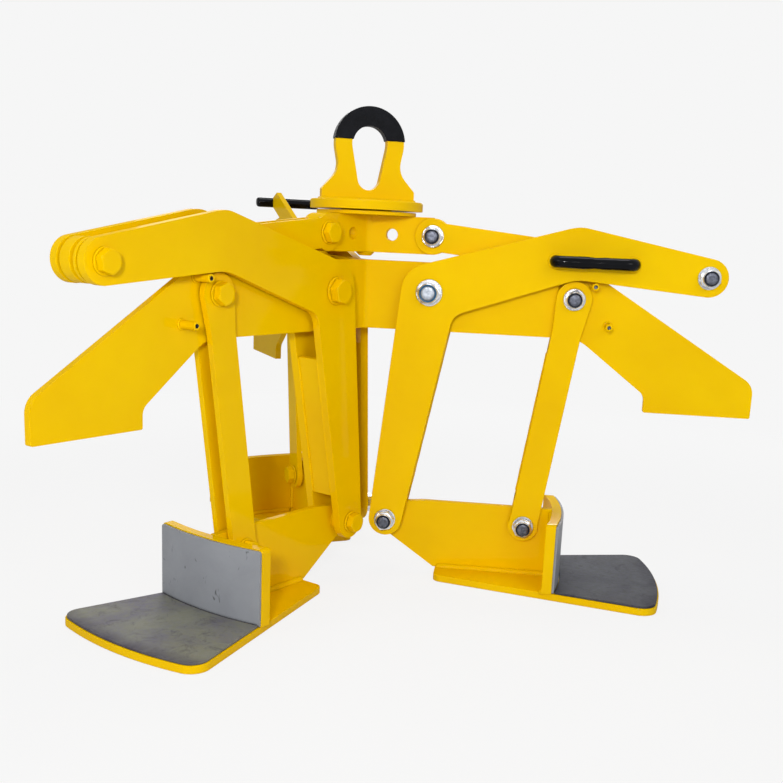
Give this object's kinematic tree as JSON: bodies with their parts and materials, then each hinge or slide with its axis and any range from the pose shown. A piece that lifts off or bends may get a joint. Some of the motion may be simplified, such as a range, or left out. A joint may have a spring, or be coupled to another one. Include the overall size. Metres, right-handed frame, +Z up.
{
  "type": "three-arm internal gripper",
  "caption": "Three-arm internal gripper for concrete rings: a rising hub and parallel linkages press curved shoes outwards as the crane lifts.",
  "frame": {"origin": "on the vertical axis of the gripper, at floor level under the base plates", "axes": "+Z up; +X along arm a; arms b and c are turned 120 degrees to either side about Z"},
  "size_m": [1.0473, 1.1596, 0.7973],
  "materials": {
    "yellow_paint": "gloss",
    "zinc": "satin",
    "black_grip": "gloss",
    "black_coat": "gloss",
    "lining": "matt"
  },
  "bodies": {
    "frame": {"frame_vee_front": "yellow_paint", "frame_vee_right": "yellow_paint", "frame_vee_left": "yellow_paint", "frame_rings": "yellow_paint", "wing_a": "yellow_paint", "wing_b": "yellow_paint", "wing_c": "yellow_paint", "stop_pins": "yellow_paint", "frame_bolts": "zinc"},
    "hub": {"hub_vee_front": "yellow_paint", "hub_vee_right": "yellow_paint", "hub_vee_left": "yellow_paint", "hub_cap": "yellow_paint"},
    "eye": {"eye_disc": "yellow_paint", "king_pin": "yellow_paint", "lift_eye": "yellow_paint", "eye_coat": "black_coat"},
    "lever_a": {"lever_pos_a": "yellow_paint", "lever_neg_a": "yellow_paint", "lever_wall_a": "yellow_paint", "handle_a": "black_grip", "tip_bolt_a": "zinc"},
    "leg_a": {"outer_leg_a": "yellow_paint"},
    "shoe_a": {"shoe_web_a": "yellow_paint", "shoe_base_a": "yellow_paint", "shoe_back_a": "yellow_paint", "shoe_pads_a": "lining", "shoe_bolts_a": "zinc"},
    "bar_a": {"link_a": "yellow_paint", "link_bolt_a": "zinc"},
    "lever_b": {"lever_pos_b": "yellow_paint", "lever_neg_b": "yellow_paint", "lever_wall_b": "yellow_paint", "handle_b": "black_grip", "tip_bolt_b": "zinc"},
    "leg_b": {"outer_leg_b": "yellow_paint"},
    "shoe_b": {"shoe_web_b": "yellow_paint", "shoe_base_b": "yellow_paint", "shoe_back_b": "yellow_paint", "shoe_pads_b": "lining", "shoe_bolts_b": "zinc"},
    "bar_b": {"link_b": "yellow_paint", "link_bolt_b": "zinc"},
    "lever_c": {"lever_pos_c": "yellow_paint", "lever_neg_c": "yellow_paint", "lever_wall_c": "yellow_paint", "handle_c": "black_grip", "tip_bolt_c": "zinc"},
    "leg_c": {"outer_leg_c": "yellow_paint"},
    "shoe_c": {"shoe_web_c": "yellow_paint", "shoe_base_c": "yellow_paint", "shoe_back_c": "yellow_paint", "shoe_pads_c": "lining", "shoe_bolts_c": "zinc"},
    "bar_c": {"link_c": "yellow_paint", "link_bolt_c": "zinc"},
    "lock": {"lock_lever": "yellow_paint", "lock_tee": "black_grip", "lock_bolt_set": "zinc"}
  },
  "joints": [
    {"name": "hub_lift", "type": "slide", "parent": "frame", "child": "hub", "axis": [0, 0, 1], "range_m": [0, 0.548]},
    {"name": "eye_swivel", "type": "hinge", "parent": "hub", "child": "eye", "pos_m": [0, 0, 0.6387], "axis": [0, 0, 1], "continuous": true},
    {"name": "lever_a_turn", "type": "hinge", "parent": "frame", "child": "lever_a", "pos_m": [0.116, 0, 0.49969], "axis": [0, -1, 0], "range_deg": [0, 37.48]},
    {"name": "leg_a_turn", "type": "hinge", "parent": "frame", "child": "leg_a", "pos_m": [0.358, 0, 0.49969], "axis": [0, -1, 0], "range_deg": [0, 37.48]},
    {"name": "shoe_a_level", "type": "hinge", "parent": "lever_a", "child": "shoe_a", "pos_m": [0.05727, 0, 0.102], "axis": [0, -1, 0], "range_deg": [-37.48, 0]},
    {"name": "link_a_turn", "type": "hinge", "parent": "hub", "child": "bar_a", "pos_m": [0.116, 0, 0.59169], "axis": [0, -1, 0], "range_deg": [-37.48, 0]},
    {"name": "lever_b_turn", "type": "hinge", "parent": "frame", "child": "lever_b", "pos_m": [-0.058, 0.10046, 0.49969], "axis": [0.866, 0.5, 0], "range_deg": [0, 37.48]},
    {"name": "leg_b_turn", "type": "hinge", "parent": "frame", "child": "leg_b", "pos_m": [-0.179, 0.31004, 0.49969], "axis": [0.866, 0.5, 0], "range_deg": [0, 37.48]},
    {"name": "shoe_b_level", "type": "hinge", "parent": "lever_b", "child": "shoe_b", "pos_m": [-0.02864, 0.0496, 0.102], "axis": [0.866, 0.5, 0], "range_deg": [-37.48, 0]},
    {"name": "link_b_turn", "type": "hinge", "parent": "hub", "child": "bar_b", "pos_m": [-0.058, 0.10046, 0.59169], "axis": [0.866, 0.5, 0], "range_deg": [-37.48, 0]},
    {"name": "lever_c_turn", "type": "hinge", "parent": "frame", "child": "lever_c", "pos_m": [-0.058, -0.10046, 0.49969], "axis": [-0.866, 0.5, 0], "range_deg": [0, 37.48]},
    {"name": "leg_c_turn", "type": "hinge", "parent": "frame", "child": "leg_c", "pos_m": [-0.179, -0.31004, 0.49969], "axis": [-0.866, 0.5, 0], "range_deg": [0, 37.48]},
    {"name": "shoe_c_level", "type": "hinge", "parent": "lever_c", "child": "shoe_c", "pos_m": [-0.02864, -0.0496, 0.102], "axis": [-0.866, 0.5, 0], "range_deg": [-37.48, 0]},
    {"name": "link_c_turn", "type": "hinge", "parent": "hub", "child": "bar_c", "pos_m": [-0.058, -0.10046, 0.59169], "axis": [-0.866, 0.5, 0], "range_deg": [-37.48, 0]},
    {"name": "lock_turn", "type": "hinge", "parent": "bar_b", "child": "lock", "pos_m": [-0.14864, 0.17745, 0.59369], "axis": [0.866, 0.5, 0], "range_deg": [0, 50]}
  ],
  "couplings": [
    {"joint": "lever_a_turn", "follows": "hub_lift", "rad_per_m": 1.1933},
    {"joint": "leg_a_turn", "follows": "hub_lift", "rad_per_m": 1.1933},
    {"joint": "shoe_a_level", "follows": "hub_lift", "rad_per_m": -1.1933},
    {"joint": "link_a_turn", "follows": "hub_lift", "rad_per_m": -1.1933},
    {"joint": "lever_b_turn", "follows": "hub_lift", "rad_per_m": 1.1933},
    {"joint": "leg_b_turn", "follows": "hub_lift", "rad_per_m": 1.1933},
    {"joint": "shoe_b_level", "follows": "hub_lift", "rad_per_m": -1.1933},
    {"joint": "link_b_turn", "follows": "hub_lift", "rad_per_m": -1.1933},
    {"joint": "lever_c_turn", "follows": "hub_lift", "rad_per_m": 1.1933},
    {"joint": "leg_c_turn", "follows": "hub_lift", "rad_per_m": 1.1933},
    {"joint": "shoe_c_level", "follows": "hub_lift", "rad_per_m": -1.1933},
    {"joint": "link_c_turn", "follows": "hub_lift", "rad_per_m": -1.1933}
  ]
}
